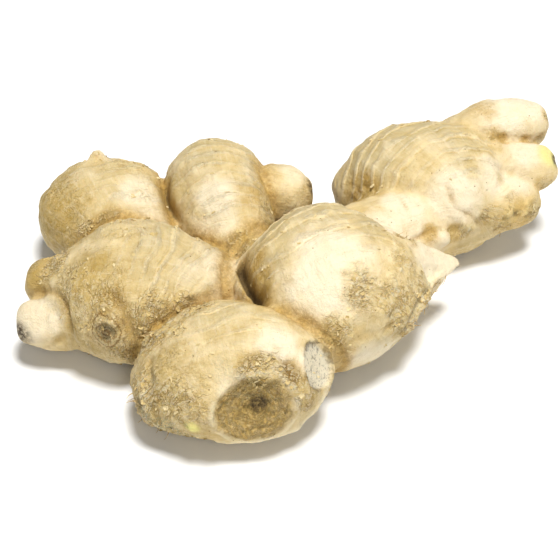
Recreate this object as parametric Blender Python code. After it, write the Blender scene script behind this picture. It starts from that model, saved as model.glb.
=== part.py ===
"""A fresh ginger root: one rhizome, grown as a chain of plump lobes that have fused where they meet.

Run it with: blender --background --python part.py
Metres, +Z up. The origin is the middle of the object's box, on the surface that it rests on.
+X runs along the longest side and +Y towards the back, away from the lobe with the big stem scar.
"""

import math

import bmesh
import bpy
from mathutils import Vector

MM = 0.001

# Driving dimensions, in metres.
RING_SIDES = 12  # corners of each ring that a lobe's cage is made of
END_RING = 0.55  # size of the small ring beyond a lobe's end, as a share of the end ring's
CAGE_LEVELS = 3  # subdivisions that round the cages
SKIN_CELL = 3.4 * MM  # size of the cells that the fused skin is rebuilt from
FUSE_STEPS = 2  # smoothing passes that fillet the creases between lobes
FUSE_STRENGTH = 0.5  # how far each pass moves a point towards the middle of its neighbours
LUMP_SIZE = 17 * MM  # distance from one slow lump of the skin to the next
LUMP_HEIGHT = 1.5 * MM  # from the bottom of a hollow to the top of a lump
SCAR_SIDES = 24  # sides of the round cutter that hollows a scar
SLAB_SIZE = Vector((400, 400, 50)) * MM  # the slab below the root, wider than the root
# This moves the stations onto the middle of the object's box, and sinks their lowest points by
# 1 mm, which the resting surface then cuts flat.
TO_BOX_MIDDLE = Vector((-5.5, -3.0, -1)) * MM

# Where something broke or was sliced off the front lobe: the middle of the scar in the stations'
# frame, the way that it faces, its radius, and how deep its hollow goes below the skin, in
# millimetres.
SCARS = {
    "stem_scar": ((-7.2, -67.5, 22.5), (0.05, -0.97, 0.25), 12.5, 3.6),
    "sliced_scar": ((10.8, -51, 27), (0.75, -0.35, 0.55), 7.5, 1.8),
}

# Each lobe is a list of stations from where it leaves its parent to its tip. A station is
# (x, y, z, half width, half height), in millimetres: its ring stands square to the lobe's line,
# and its width is measured level. The last two numbers of a lobe are how far its two ends bulge,
# as a share of the end ring's size.
LOBES = {
    # The front lobe, with the big stem scar facing forward.
    "front": ([
        (-38, -46, 13, 16, 13),
        (-30, -46, 17, 22, 18),
        (-20, -45, 20, 25, 21),
        (-8, -46, 20, 25, 21),
        (3, -45, 19, 20, 19),
        (10, -44, 18, 13, 13),
    ], 0.5, 0.4),
    "front_stem_stump": ([
        (-9, -52, 17, 15, 14),
        (-8, -63, 14, 13, 12),
    ], 0.6, 0.2),
    # The middle lobe, the largest, which carries all the others.
    "middle": ([
        (-4, -10, 22, 20, 18),
        (4, -11, 24, 30, 24),
        (14, -12, 25, 34, 26),
        (24, -11, 24, 29, 25),
        (33, -8, 21, 21, 20),
        (39, -5, 18, 14, 14),
    ], 0.6, 0.4),
    "middle_torn_end": ([
        (34, -4, 18, 14, 11),
        (45, 1, 18, 8, 8),
        (53, 4, 21, 4, 3),
    ], 0.6, 0.5),
    "middle_shoulder": ([
        (26, 8, 28, 10, 9),
        (37, 14, 26, 8, 7),
    ], 0.6, 0.5),
    "neck_to_right": ([
        (24, 6, 21, 19, 18),
        (36, 20, 20, 16, 16),
        (46, 30, 19, 18, 17),
    ], 0.6, 0.6),
    # The right lobe, with three fingers at its end.
    "right": ([
        (29, 41, 19, 11, 13),
        (36, 42, 21, 19, 20),
        (46, 43, 21, 24, 23),
        (58, 43, 21, 25, 22),
        (70, 45, 20, 22, 17),
    ], 0.6, 0.5),
    "finger_back": ([
        (60, 54, 32, 11, 10),
        (76, 66, 35, 10, 10),
        (89, 67, 34, 9, 9),
    ], 0.6, 0.7),
    "finger_mid": ([
        (66, 50, 28, 9, 8),
        (80, 52, 28, 8, 8),
        (91, 52, 28, 7, 7),
    ], 0.6, 0.7),
    "finger_low": ([
        (62, 40, 20, 10, 10),
        (76, 41, 19, 9, 9),
        (84, 42, 19, 8, 8),
    ], 0.6, 0.7),
    # The left lobe, which lies along the front.
    "left": ([
        (-11, -9, 15, 11, 12),
        (-20, -9, 18, 16, 16),
        (-30, -9, 19, 22, 19),
        (-41, -9, 21, 28, 22),
        (-52, -9, 21, 29, 22),
        (-63, -9, 19, 22, 18),
        (-72, -8, 18, 13, 12),
    ], 0.6, 0.4),
    "left_pale_bud": ([
        (-66, -19, 16, 8, 8),
        (-75, -18, 15, 8, 8),
        (-82, -16, 14, 7, 7),
    ], 0.6, 0.2),
    "left_brown_bud": ([
        (-66, -4, 20, 9, 8),
        (-79, -3, 20, 6, 6),
    ], 0.6, 0.6),
    # The two lobes behind it.
    "back_left": ([
        (-46, 10, 15, 14, 13),
        (-53, 23, 17, 21, 17),
        (-61, 35, 18, 25, 18),
        (-63, 44, 18, 22, 17),
    ], 0.6, 0.5),
    "back_middle": ([
        (-11, 6, 18, 13, 14),
        (-15, 18, 20, 15, 16),
        (-20, 32, 21, 18, 20),
        (-22, 47, 22, 19, 20),
    ], 0.6, 0.6),
    "back_middle_bud": ([
        (-10, 42, 22, 9, 9),
        (1, 41, 23, 7, 7),
        (7, 40, 22, 6, 6),
    ], 0.5, 0.5),
}


def clear_scene():
    for obj in list(bpy.data.objects):
        bpy.data.objects.remove(obj)


def ring_corners(centre, along, half_width, half_height):
    """The corners of an oval ring that stands square to `along`, with its width level."""
    side = Vector((0, 0, 1)).cross(along).normalized()
    up = along.cross(side)
    turns = (2 * math.pi * i / RING_SIDES for i in range(RING_SIDES))
    return [centre + side * half_width * math.cos(a) + up * half_height * math.sin(a) for a in turns]


def lobe_rings(stations, start_bulge, end_bulge):
    """Rings at the stations, and a smaller one beyond each end that rounds it off."""
    points = [Vector(s[:3]) for s in stations]
    sizes = [s[3:] for s in stations]
    steps = [(b - a).normalized() for a, b in zip(points, points[1:])]
    lines = [steps[0]] + [(a + b).normalized() for a, b in zip(steps, steps[1:])] + [steps[-1]]
    rings = [ring_corners(p, d, *s) for p, d, s in zip(points, lines, sizes)]
    for at, way, bulge in ((0, -1, start_bulge), (-1, 1, end_bulge)):
        width, height = sizes[at]
        tip = points[at] + lines[at] * way * bulge * min(width, height)
        end_ring = ring_corners(tip, lines[at], END_RING * width, END_RING * height)
        rings.insert(0 if at == 0 else len(rings), end_ring)
    return rings


def add_lobe(bm, rings):
    """Bridges the rings into a closed tube, with a fan of triangles over each end."""
    loops = [[bm.verts.new(corner * MM + TO_BOX_MIDDLE) for corner in ring] for ring in rings]
    for low, high in zip(loops, loops[1:]):
        for i in range(RING_SIDES):
            j = (i + 1) % RING_SIDES
            bm.faces.new((low[i], low[j], high[j], high[i]))
    for loop, turned in ((loops[0], True), (loops[-1], False)):
        tip = bm.verts.new(sum((v.co for v in loop), Vector()) / RING_SIDES)
        for i in range(RING_SIDES):
            corners = (loop[i], loop[(i + 1) % RING_SIDES], tip)
            bm.faces.new(reversed(corners) if turned else corners)


def lumps():
    texture = bpy.data.textures.new("slow_lumps", "CLOUDS")
    texture.noise_scale = LUMP_SIZE
    texture.noise_depth = 1
    return texture


def root_object():
    mesh = bpy.data.meshes.new("ginger_root")
    bm = bmesh.new()
    for lobe in LOBES.values():
        add_lobe(bm, lobe_rings(*lobe))
    bm.to_mesh(mesh)
    bm.free()
    root = bpy.data.objects.new("ginger_root", mesh)
    bpy.context.collection.objects.link(root)
    return root


def fuse(root):
    """Rounds the cages, fuses them into one skin, and gives it its slow lumps."""
    rounded = root.modifiers.new("round_the_cages", "SUBSURF")
    rounded.levels = CAGE_LEVELS
    rounded.render_levels = CAGE_LEVELS
    skin = root.modifiers.new("one_skin", "REMESH")
    skin.mode = "VOXEL"
    skin.voxel_size = SKIN_CELL
    fillet = root.modifiers.new("fillet_the_creases", "SMOOTH")
    fillet.factor = FUSE_STRENGTH
    fillet.iterations = FUSE_STEPS
    lumpy = root.modifiers.new("slow_lumps", "DISPLACE")
    lumpy.texture = lumps()
    lumpy.texture_coords = "GLOBAL"
    lumpy.strength = LUMP_HEIGHT


def cut_away(root, name, cutter_mesh):
    """Takes the cutter's shape out of the root, and leaves the cutter as a hidden helper."""
    cutter = bpy.data.objects.new(name, cutter_mesh)
    bpy.context.collection.objects.link(cutter)
    cutter.hide_render = True
    cutter.display_type = "WIRE"
    cut = root.modifiers.new(name, "BOOLEAN")
    cut.operation = "DIFFERENCE"
    cut.solver = "EXACT"
    cut.object = cutter


def hollow_scars(root):
    """Each scar is a shallow dish, cut with a flattened ball that lies in the skin."""
    for name, (middle, facing, radius, depth) in SCARS.items():
        mesh = bpy.data.meshes.new(name)
        bm = bmesh.new()
        bmesh.ops.create_uvsphere(bm, u_segments=SCAR_SIDES, v_segments=SCAR_SIDES // 2, radius=MM)
        bmesh.ops.scale(bm, vec=(radius, radius, depth), verts=bm.verts)
        turn = Vector(facing).to_track_quat("Z", "Y").to_matrix()
        bmesh.ops.rotate(bm, matrix=turn, verts=bm.verts)
        bmesh.ops.translate(bm, vec=Vector(middle) * MM + TO_BOX_MIDDLE, verts=bm.verts)
        bm.to_mesh(mesh)
        bm.free()
        cut_away(root, name, mesh)


def flatten_base(root):
    """Cuts the lowest points flat with a slab whose top is the resting surface."""
    mesh = bpy.data.meshes.new("resting_slab")
    bm = bmesh.new()
    bmesh.ops.create_cube(bm, size=1.0)
    bmesh.ops.scale(bm, vec=SLAB_SIZE, verts=bm.verts)
    bmesh.ops.translate(bm, vec=(0, 0, -SLAB_SIZE.z / 2), verts=bm.verts)
    bm.to_mesh(mesh)
    bm.free()
    cut_away(root, "resting_slab", mesh)


def skin_material():
    material = bpy.data.materials.new("ginger_skin")
    material.use_nodes = True
    shader = material.node_tree.nodes["Principled BSDF"]
    shader.inputs["Base Color"].default_value = (0.62, 0.45, 0.24, 1)
    shader.inputs["Roughness"].default_value = 0.5
    shader.inputs["Metallic"].default_value = 0.0
    return material


clear_scene()
ginger = root_object()
fuse(ginger)
hollow_scars(ginger)
flatten_base(ginger)
ginger.data.materials.append(skin_material())
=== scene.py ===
# %% [markdown]
# # A fresh ginger root
#
# Ginger is a stem that creeps below ground. It swells into plump lobes, each lobe buds the next one,
# and where they crowd together they fuse. Its skin is thin and dry and marked with rings, one for
# each scale leaf that once sat there.
#
# The measured solid is loaded first as a fixed frame. Everything below is modelled in that frame, in
# metres with +Z up, so no piece has to be fitted afterwards.

# %% Load the measured solid
import math

import bmesh
import bpy
import numpy as np
from mathutils import Matrix, Vector, noise


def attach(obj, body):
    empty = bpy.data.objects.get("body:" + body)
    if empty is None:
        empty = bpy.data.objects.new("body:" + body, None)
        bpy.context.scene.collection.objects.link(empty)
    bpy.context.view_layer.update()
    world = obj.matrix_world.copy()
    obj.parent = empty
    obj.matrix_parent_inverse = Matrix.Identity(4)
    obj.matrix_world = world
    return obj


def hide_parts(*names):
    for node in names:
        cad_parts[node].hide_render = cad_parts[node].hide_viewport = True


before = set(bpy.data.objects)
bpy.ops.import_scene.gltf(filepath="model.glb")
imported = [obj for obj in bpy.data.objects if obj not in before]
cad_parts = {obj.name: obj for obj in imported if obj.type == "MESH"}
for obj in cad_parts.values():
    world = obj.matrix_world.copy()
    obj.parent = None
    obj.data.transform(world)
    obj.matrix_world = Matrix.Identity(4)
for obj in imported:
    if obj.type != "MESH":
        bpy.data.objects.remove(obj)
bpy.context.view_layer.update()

# %% [markdown]
# ## Camera
#
# A long lens a little over half a metre away, looking down at 40 degrees, shows the top of every
# lobe with little perspective. A short lens up close would make the front lobe look swollen.

# %% Set up the camera
LOOK_AT = Vector((-0.0055, -0.0030, 0.017))
CAMERA_DISTANCE = 0.560
CAMERA_HEIGHT_ANGLE = math.radians(40)
LENS, SENSOR = 109.8, 36  # mm
camera_data = bpy.data.cameras.new("camera")
camera_data.lens = LENS
camera_data.sensor_width = SENSOR
camera = bpy.data.objects.new("camera", camera_data)
bpy.context.scene.collection.objects.link(camera)
towards_camera = Vector((0, -math.cos(CAMERA_HEIGHT_ANGLE), math.sin(CAMERA_HEIGHT_ANGLE)))
camera.location = LOOK_AT + CAMERA_DISTANCE * towards_camera
camera.rotation_euler = towards_camera.to_track_quat("Z", "Y").to_euler()
bpy.context.scene.camera = camera
print("camera at", [round(v, 3) for v in camera.location])

# %% [markdown]
# ## Floor and light
#
# The root lies on a white sheet. The light is that of a bright, soft tent: a wide lamp almost overhead
# lights the tops and leaves the flanks and the overhangs dark, a weaker one in front fills them a
# little, and a dim, nearly neutral world lifts the shadows. The lamps stand far off, so that the sheet
# is evenly bright, and the plain "Standard" view lets it burn out to white.

# %% Set up the lamps and the world
WORLD_COLOUR, WORLD_STRENGTH = (0.97, 0.98, 0.99, 1), 0.18


def lamp(name, place, size, watts, tint):
    """A round lamp at a place, pointed at the root."""
    data = bpy.data.lights.new(name, "AREA")
    data.shape = "DISK"
    data.size = size
    data.energy = watts
    data.color = tint
    thing = bpy.data.objects.new(name, data)
    bpy.context.scene.collection.objects.link(thing)
    thing.location = place
    thing.rotation_euler = (Vector(place) - LOOK_AT).to_track_quat("Z", "Y").to_euler()


lamp("overhead_lamp", (0.24, -0.24, 2.0), 0.6, 49.5, (1.0, 0.985, 0.955))
lamp("front_lamp", (0.35, -1.7, 1.4), 0.7, 9.0, (1.0, 0.99, 0.975))
world = bpy.data.worlds.new("white_tent")
world.use_nodes = True
world.node_tree.nodes["Background"].inputs["Color"].default_value = WORLD_COLOUR
world.node_tree.nodes["Background"].inputs["Strength"].default_value = WORLD_STRENGTH
bpy.context.scene.world = world
bpy.context.scene.view_settings.view_transform = "Standard"
print("world strength", WORLD_STRENGTH)

# %% Spread the white sheet
SHEET_SIZE = 6  # metres
bpy.ops.object.select_all(action="DESELECT")
bpy.ops.mesh.primitive_plane_add(size=SHEET_SIZE, location=(0, 0, 0))
floor = bpy.context.object
floor.name = "white_sheet"
floor_material = bpy.data.materials.new("white_sheet")
floor_material.use_nodes = True
floor_shader = floor_material.node_tree.nodes["Principled BSDF"]
floor_shader.inputs["Base Color"].default_value = (0.90, 0.91, 0.92, 1)
floor_shader.inputs["Roughness"].default_value = 0.9
floor_shader.inputs["Specular IOR Level"].default_value = 0.1
floor.data.materials.append(floor_material)
print("floor", [round(v, 2) for v in floor.dimensions])

# %% [markdown]
# ## The lobes
#
# A lobe could be sculpted from a ball, but then its place and girth would be a matter of feel. Here
# each lobe is a lofted cage instead: a row of oval rings that stand square to the lobe's line, so its
# girth is set where it counts, and every lobe agrees with the measured solid.
#
# A station is (x, y, z, half width, half height) in millimetres. The last two numbers of a lobe say
# how far its two ends bulge, as a share of the end ring's size.

# %% Lay out the lobes
LOBES = {
    "front": ([
        (-38, -46, 13, 16, 13), (-30, -46, 17, 22, 18), (-20, -45, 20, 25, 21), (-8, -46, 20, 25, 21),
        (3, -45, 19, 20, 19), (10, -44, 18, 13, 13),
    ], 0.5, 0.4),
    "front_stem_stump": ([
        (-9, -52, 17, 15, 14), (-8, -63, 14, 13, 12),
    ], 0.6, 0.2),
    "front_tiny_bud": ([
        (-24.5, -64.5, 19, 2.4, 2.4), (-26.2, -67.6, 17.2, 2, 2),
    ], 0.6, 0.6),
    "middle": ([
        (-4, -10, 22, 20, 18), (4, -11, 24, 30, 24), (14, -12, 25, 34, 26), (24, -11, 24, 29, 25),
        (33, -8, 21, 21, 20), (39, -5, 18, 14, 14),
    ], 0.6, 0.4),
    "middle_torn_end": ([
        (32, -5, 18, 16, 12), (43, 0, 17, 10, 8), (52, 3, 19, 5, 4),
    ], 0.6, 0.5),
    "middle_torn_shelf": ([
        (28, -4, 28, 15, 6), (40, -3, 25, 13, 4.2), (49, 1, 22.8, 8, 2.8), (57, 4, 21.6, 2.6, 1.4),
    ], 0.5, 0.9),
    "middle_torn_ridge": ([
        (30, -5, 37, 9, 6), (41, -1, 30.5, 8.5, 4.4), (50, 1.8, 25, 5.5, 2.8), (58, 4.2, 21.4, 2.2, 1.3),
    ], 0.5, 0.6),
    "middle_torn_lip": ([
        (54, 2, 21.8, 3, 1.4), (48.5, -5, 22.8, 3.6, 1.6), (44.5, -13, 24, 4.2, 1.8),
        (42, -20, 23, 4.2, 1.8), (36.5, -28, 20, 4, 1.8),
    ], 0.5, 0.5),
    "middle_shoulder": ([
        (26, 8, 28, 10, 9), (37, 14, 26, 8, 7),
    ], 0.6, 0.5),
    "neck_to_right": ([
        (24, 6, 21, 19, 18), (36, 20, 20, 16, 16), (46, 30, 19, 18, 17),
    ], 0.6, 0.6),
    "right": ([
        (27.5, 43, 19.5, 14, 15.5), (35, 44, 21.5, 22, 22.5), (46, 44, 21, 25.5, 24.5),
        (58, 45, 21.5, 26, 24.5), (70, 46, 21, 22, 19.5),
    ], 0.6, 0.5),
    "finger_back": ([
        (60, 54, 32, 12, 11), (74, 64, 35, 11.5, 11), (88, 66, 33.5, 10, 10),
    ], 0.6, 0.6),
    "finger_mid": ([
        (62, 48, 28, 12, 11), (79, 50, 27.5, 11, 10), (91.5, 50, 26.5, 9.2, 9.2),
    ], 0.6, 0.5),
    "finger_low": ([
        (60, 36, 23, 13, 12), (72, 37, 22, 12, 11.5), (83, 40, 20, 9.5, 9.5),
    ], 0.6, 0.6),
    "back_left_stub": ([
        (-62.5, 46, 31, 3.6, 3.6), (-62.5, 46.6, 35.5, 2.6, 2.4),
    ], 0.5, 0.5),
    "pale_bud": ([
        (49, 18, 21, 4, 4), (54, 16, 23, 3.5, 3.5),
    ], 0.6, 0.8),
    "left": ([
        (-11, -9, 15, 11, 12), (-20, -9, 18, 16, 16), (-30, -9, 19, 22, 19), (-41, -9, 21, 28, 22),
        (-52, -9, 21, 29, 22), (-63, -9, 19, 22, 18), (-72, -8, 18, 13, 12),
    ], 0.6, 0.4),
    "left_pale_bud": ([
        (-67, -19, 15.5, 9.5, 9), (-75, -18, 15, 9.2, 8.8), (-82, -16.5, 14, 7.6, 7.6),
    ], 0.6, 0.2),
    "left_brown_bud": ([
        (-66, -4, 21, 10.5, 10), (-77.5, -4.5, 21, 9, 8.2),
    ], 0.6, 0.6),
    "back_left": ([
        (-46, 10, 15, 14, 13), (-53, 23, 17, 21, 17), (-59.5, 35, 18, 25.5, 18.5),
        (-62, 45, 18, 23.5, 18),
    ], 0.6, 0.5),
    "back_middle": ([
        (-11, 6, 18, 13, 14), (-15, 18, 20, 15, 16), (-20.5, 32, 21, 19, 21), (-22.5, 47, 22, 20.5, 21.5),
    ], 0.6, 0.6),
    "back_middle_bud": ([
        (-10, 41, 21, 13, 13), (1, 40.5, 23, 11, 11), (8, 40, 23, 7.6, 7.6),
    ], 0.5, 0.5),
}
print(len(LOBES), "lobes and buds")

# %% [markdown]
# ### One ring of a cage
#
# A ring starts as a circle at the world's middle, where squeezing it to an oval and turning it are
# plain moves along the world's axes, and is carried to its place last.

# %% Make the tools that place a ring
MM = 0.001
BOX_SHIFT = Vector((-5.5, -3.0, -1.0))  # mm, takes the lobes as laid out to the solid's frame
RING_SIDES = 12
END_RING = 0.55  # the size of the extra ring that rounds off an end, as a share of the end ring's


def turn(angle, axis):
    """Turns the selection about the world's middle. With no window the operator turns the other way."""
    way = -1 if bpy.app.background else 1
    bpy.ops.transform.rotate(value=way * angle, orient_axis=axis, center_override=(0, 0, 0))


def add_ring(middle, along, half_width, half_height):
    bpy.ops.mesh.primitive_circle_add(vertices=RING_SIDES, radius=MM, location=(0, 0, 0))
    bpy.ops.transform.resize(value=(half_width, half_height, 1), center_override=(0, 0, 0))
    turn(math.acos(along.z), "X")
    turn(math.atan2(along.x, -along.y), "Z")
    bpy.ops.transform.translate(value=(middle + BOX_SHIFT) * MM)


def ring_places(stations, start_bulge, end_bulge):
    """Where each ring stands, with a smaller one beyond each end that rounds it off."""
    middles = [Vector(s[:3]) for s in stations]
    steps = [(b - a).normalized() for a, b in zip(middles, middles[1:])]
    lines = [steps[0]] + [(a + b).normalized() for a, b in zip(steps, steps[1:])] + [steps[-1]]
    rings = [(p, d, s[3], s[4]) for p, d, s in zip(middles, lines, stations)]
    for at, way, bulge in ((0, -1, start_bulge), (-1, 1, end_bulge)):
        width, height = stations[at][3:]
        tip = middles[at] + lines[at] * way * bulge * min(width, height)
        rings.insert(0 if at == 0 else len(rings), (tip, lines[at], END_RING * width, END_RING * height))
    return rings


print("rings have", RING_SIDES, "sides")

# %% Loft every lobe
ROUNDING_LEVELS = 3


def pick(mesh_object, chosen):
    """In edit mode, selects only the vertices with these numbers, and the edges between them."""
    bm = bmesh.from_edit_mesh(mesh_object.data)
    for vert in bm.verts:
        vert.select_set(vert.index in chosen)
    bm.select_flush(True)
    bm.select_flush_mode()
    bmesh.update_edit_mesh(mesh_object.data)


def loft_lobe(name, stations, start_bulge, end_bulge):
    """Rings, bridged one to the next, with each end filled and poked, then rounded by subdivision."""
    places = ring_places(stations, start_bulge, end_bulge)
    lobe = bpy.data.objects.new(name, bpy.data.meshes.new(name))
    bpy.context.scene.collection.objects.link(lobe)
    bpy.context.view_layer.objects.active = lobe
    lobe.select_set(True)
    bpy.ops.object.mode_set(mode="EDIT")
    for place in places:
        add_ring(*place)
    for i in range(len(places) - 1):
        pick(lobe, range(i * RING_SIDES, (i + 2) * RING_SIDES))
        bpy.ops.mesh.bridge_edge_loops()
    for first in (0, (len(places) - 1) * RING_SIDES):
        pick(lobe, range(first, first + RING_SIDES))
        bpy.ops.mesh.edge_face_add()
        bpy.ops.mesh.poke()
    bpy.ops.mesh.select_all(action="SELECT")
    bpy.ops.mesh.normals_make_consistent(inside=False)
    bpy.ops.object.mode_set(mode="OBJECT")
    rounding = lobe.modifiers.new("rounding", "SUBSURF")
    rounding.levels = rounding.render_levels = ROUNDING_LEVELS
    bpy.ops.object.modifier_apply(modifier="rounding")
    lobe.select_set(False)
    return lobe


bpy.ops.object.select_all(action="DESELECT")
lobes = [loft_lobe(name, *shape) for name, shape in LOBES.items()]
print("lofted", len(lobes), "lobes,", sum(len(lobe.data.polygons) for lobe in lobes), "faces")

# %% [markdown]
# ## Fusing the lobes
#
# The lobes overlap like soap bubbles. A Boolean union would join them with knife-sharp seams. A voxel
# Remesh rebuilds them as one skin of even little squares instead, which is also what the
# carving further down needs. A few smoothing passes then turn each seam into a tight crease.

# %% Join, remesh, smooth and swell
SKIN_CELL = 0.86 * MM
CREASE_PASSES = 5
SLOW_LUMP_SIZE, SLOW_LUMP_HEIGHT = 17 * MM, 1.5 * MM


def join_all(pieces, name):
    """Joins objects into one with this name, which stays active but isn't selected."""
    bpy.ops.object.select_all(action="DESELECT")
    for piece in pieces:
        piece.select_set(True)
    bpy.context.view_layer.objects.active = pieces[0]
    bpy.ops.object.join()
    joined = bpy.context.object
    joined.name = joined.data.name = name
    joined.select_set(False)
    return joined


root = join_all(lobes, "root_skin")
one_skin = root.modifiers.new("one_skin", "REMESH")
one_skin.mode = "VOXEL"
one_skin.voxel_size = SKIN_CELL
creases = root.modifiers.new("creases", "SMOOTH")
creases.factor = 0.5
creases.iterations = CREASE_PASSES
slow_lumps = bpy.data.textures.new("slow_lumps", "CLOUDS")
slow_lumps.noise_scale = SLOW_LUMP_SIZE
slow_lumps.noise_depth = 1
lumpy = root.modifiers.new("slow_lumps", "DISPLACE")
lumpy.texture = slow_lumps
lumpy.texture_coords = "GLOBAL"
lumpy.strength = SLOW_LUMP_HEIGHT
for modifier in list(root.modifiers):
    bpy.ops.object.modifier_apply(modifier=modifier.name)
triangles = sum(len(polygon.vertices) - 2 for polygon in root.data.polygons)
print("one skin:", len(root.data.vertices), "vertices,", triangles, "triangles")

# %% [markdown]
# ## Reading the skin
#
# Carving and colour both need to know where on the plant a spot is. Each vertex is asked three
# things: which lobe it belongs to, how near it is to the next lobe (the joints are brown and creased),
# and how far along that lobe's growth it lies (the rings are drawn by that number).

# %% Read the vertices into arrays
def read_skin(mesh):
    """Every vertex's place in mm, and its normal."""
    places = np.empty(len(mesh.vertices) * 3, np.float64)
    mesh.vertices.foreach_get("co", places)
    ways = np.empty(len(mesh.vertices) * 3, np.float32)
    mesh.vertex_normals.foreach_get("vector", ways)
    return places.reshape(-1, 3) / MM, ways.reshape(-1, 3).astype(np.float64)


points, normals = read_skin(root.data)
print("skin spans", points.min(0).round(1), points.max(0).round(1), "mm")


# %% Measure how near each vertex is to each lobe
def line_through(stops, pieces):
    """A smooth line through the stops (Catmull and Rom's curve), as an array of points."""
    stops = np.asarray(stops, float)
    ends = np.vstack([2 * stops[0] - stops[1], stops, 2 * stops[-1] - stops[-2]])
    out = []
    for a, b, c, d in zip(ends, ends[1:], ends[2:], ends[3:]):
        for t in np.arange(pieces) / pieces:
            out.append(0.5 * (2 * b + (c - a) * t + (2 * a - 5 * b + 4 * c - d) * t * t
                              + (3 * b - a - 3 * c + d) * t ** 3))
    out.append(stops[-1])
    return np.array(out)


def unit(ways):
    return ways / np.linalg.norm(ways, axis=1, keepdims=True)


def distance_to_lobe(stations):
    """Roughly how far each vertex is outside a lobe's oval tube, in millimetres."""
    line = line_through(stations, pieces=3)
    centres = line[:, :3] + np.array(BOX_SHIFT)
    best = np.full(len(points), np.inf)
    ways = unit(np.gradient(centres, axis=0))
    for centre, way, width, height in zip(centres, ways, line[:, 3], line[:, 4]):
        side = np.cross((0, 0, 1), way)
        side /= np.linalg.norm(side)
        up = np.cross(way, side)
        small = min(width, height)
        away = points - centre
        reach = np.sqrt((away @ side / width) ** 2 + (away @ up / height) ** 2 + (away @ way / small) ** 2)
        best = np.minimum(best, (reach - 1) * small)
    return best


names = list(LOBES)
nearness = np.array([distance_to_lobe(LOBES[name][0]) for name in names])
order = np.argsort(nearness, axis=0)
own = order[0]
to_own, to_next = np.take_along_axis(nearness, order[:2], 0)
gap = to_next - to_own
print("vertices on each lobe:", {name: int((own == i).sum()) for i, name in enumerate(names)})

# %% [markdown]
# ### Which way each lobe grew
#
# A ring stands square to the way its lobe grew, and that isn't always the lobe's longest way: the front
# lobe is wide, yet it grew forwards, towards its big scar. So each lobe has a growth line of its own,
# with the distance between its rings, how deep they are and how much they cup.

# %% Lay out the growth lines
GROWTH = {
    # name: (stops of the line in mm, distance between rings, depth of the rings, cup)
    "front": ([(-20, -20, 16), (-15, -45, 20), (-12, -75, 16)], 5.2, 0.3, 0.004),
    "middle": ([(-5, 22, 24), (12, -8, 25), (22, -45, 20)], 5.6, 0.46, 0.009),
    "right": ([(22, 66, 20), (44, 44, 24), (62, 14, 30)], 5.6, 0.46, 0.013),
    "left": ([(-18, -30, 8), (-25, -17, 20), (-45, -9, 22), (-90, -8, 20)], 4.7, 0.34, 0.004),
    "back_left": ([(-48, 6, 14), (-60, 30, 17), (-74, 62, 20)], 4.6, 0.34, 0.004),
    "back_middle": ([(-15, 0, 18), (-22, 30, 20), (-28, 65, 22)], 4.3, 0.36, 0.005),
    "back_middle_bud": ([(-16, 40, 22), (14, 37, 22)], 3.6, 0.15, 0.01),
    "left_pale_bud": ([(-66, -22, 16), (-95, -18, 12)], 3.6, 0.12, 0.01),
    "left_brown_bud": ([(-66, -8, 20), (-95, -6, 20)], 3.4, 0.16, 0.01),
    "finger_back": ([(50, 48, 32), (82, 63, 34), (95, 64, 33)], 6, 0.12, 0.01),
    "finger_mid": ([(55, 48, 27), (95, 49, 27)], 6, 0.12, 0.01),
    "finger_low": ([(50, 38, 20), (90, 39, 18)], 6, 0.12, 0.01),
    "middle_shoulder": ([(15, 0, 26), (40, 16, 24)], 6, 0.08, 0.01),
    "pale_bud": ([(42, 15, 20), (56, 12, 22)], 3, 0.06, 0.01),
    "neck_to_right": ([(10, 10, 20), (45, 30, 18)], 5, 0.05, 0.004),
    "middle_torn_shelf": ([(20, 0, 30), (60, 2, 20)], 5, 0.06, 0.004),
    "back_left_stub": ([(-66, 40, 28), (-60, 50, 40)], 5, 0.05, 0.004),
}
GROWS_AS = {
    "front_stem_stump": "front", "front_tiny_bud": "front", "middle_torn_end": "middle",
    "middle_torn_lip": "middle_torn_shelf", "middle_torn_ridge": "middle_torn_shelf",
}
print(len(GROWTH), "growth lines")

# %% Follow them
LINE_BLUR = 60  # mm², how softly a spot passes from one stretch of its line to the next
LOBE_APART = 13.0  # mm, keeps the ring noise of two lobes from being alike


def follow(spots, stops, cup):
    """How far along a growth line each spot lies, in mm, the line's way there, and the way out from it."""
    line = line_through(stops, pieces=10)
    run = np.concatenate([[0], np.cumsum(np.linalg.norm(np.diff(line, axis=0), axis=1))])
    total = np.zeros(len(spots))
    along = np.zeros(len(spots))
    way = np.zeros_like(spots)
    centre = np.zeros_like(spots)
    nearest = np.min([((spots - c) ** 2).sum(1) for c in line], axis=0)
    for c, d, s in zip(line, unit(np.gradient(line, axis=0)), run):
        away = spots - c
        weight = np.exp(-((away ** 2).sum(1) - nearest) / LINE_BLUR)
        total += weight
        along += weight * (s + away @ d)
        way += weight[:, None] * d
        centre += weight[:, None] * c
    way = unit(way)
    out = spots - centre / total[:, None]
    out -= (out * way).sum(1, keepdims=True) * way
    reach = np.linalg.norm(out, axis=1)
    return along / total - cup * reach ** 2, way, out / np.maximum(reach, 1e-6)[:, None]


growth, spacing, ring_depth = np.zeros(len(points)), np.ones(len(points)), np.zeros(len(points))
growth_way, outward = np.zeros_like(points), np.zeros_like(points)
for i, name in enumerate(names):
    mine = own == i
    stops, spacing[mine], ring_depth[mine], cup = GROWTH[GROWS_AS.get(name, name)]
    along, growth_way[mine], outward[mine] = follow(points[mine], stops, cup)
    growth[mine] = along + LOBE_APART * i
print("growth runs from", growth.min().round(1), "to", growth.max().round(1), "mm")

# %% [markdown]
# ## Carving the skin
#
# Fine relief could be left to a bump map, but bump vanishes at the outline, where ginger shows its
# knobs and torn edges best. So the relief that is wider than a millimetre or two is carved into the
# mesh: every vertex moves along its normal by a sum of rings, creases, lumps and scars.

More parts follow.
